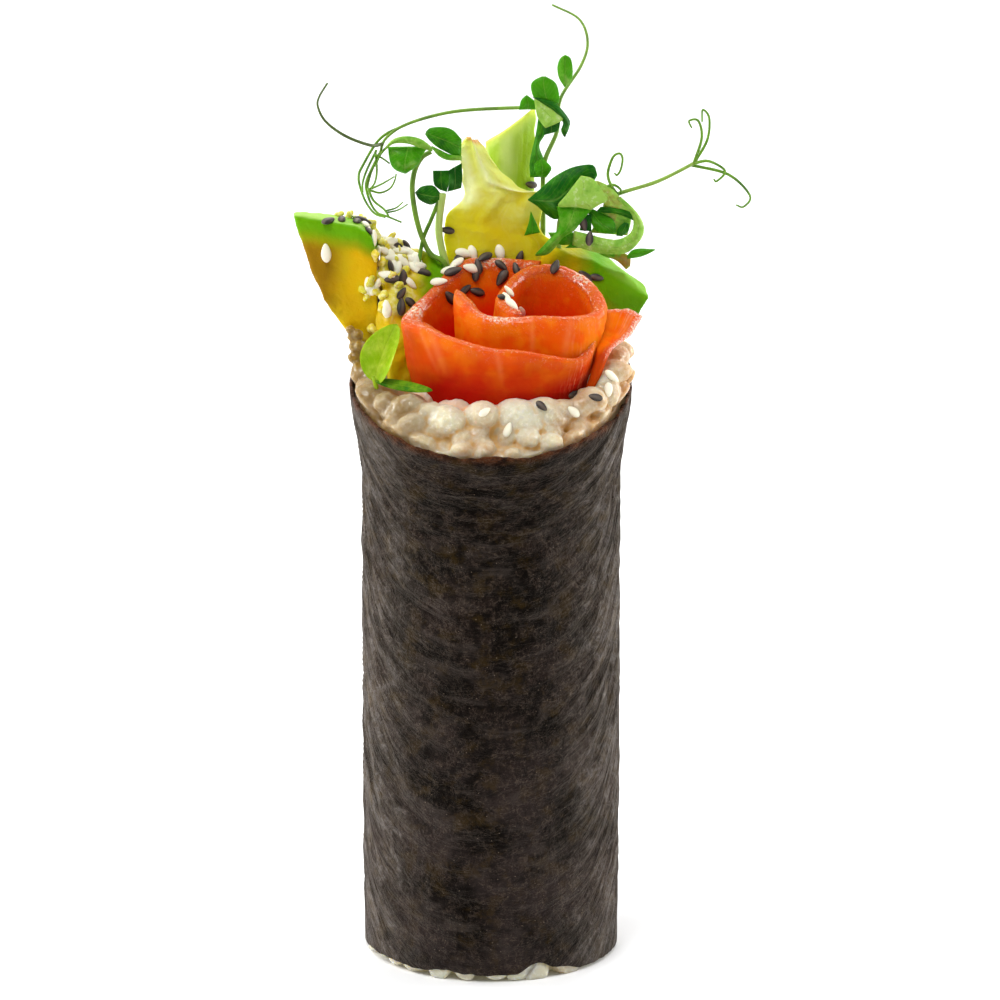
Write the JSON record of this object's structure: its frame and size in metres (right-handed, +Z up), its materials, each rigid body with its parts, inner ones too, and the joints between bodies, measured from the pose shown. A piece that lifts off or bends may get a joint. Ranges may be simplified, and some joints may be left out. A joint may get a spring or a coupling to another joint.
{
  "type": "smoked salmon hand roll",
  "caption": "Upright nori roll with a slanted mouth, filled with sushi rice, salmon curled into a rose, avocado, lettuce and pea shoots, with sesame seeds.",
  "frame": {"origin": "on the roll's axis, on the flat foot that it stands on", "axes": "+Z up along the roll's axis, -Y towards the front, which is the low side of the slanted mouth"},
  "size_m": [0.0853, 0.0533, 0.1799],
  "materials": {
    "nori": "roasted seaweed, slightly glossy",
    "rice": "moist cooked rice",
    "salmon": "moist smoked fish",
    "avocado": "ripe flesh, yellow to green",
    "pale_lettuce": "pale inner leaf",
    "green_lettuce": "light green leaf",
    "pea_shoot": "fresh leaf",
    "sprout": "fresh seedling leaf"
  },
  "bodies": {
    "root": {"nori_wrap": "nori", "rice": "rice", "salmon_rose": "salmon", "salmon_flap": "salmon", "avocado_left": "avocado", "avocado_middle": "avocado", "avocado_right": "avocado", "lettuce_front": "pale_lettuce", "lettuce_back": "green_lettuce", "shoot_left": "pea_shoot", "shoot_top": "pea_shoot", "shoot_right": "pea_shoot", "sprout_front": "sprout"}
  },
  "joints": []
}
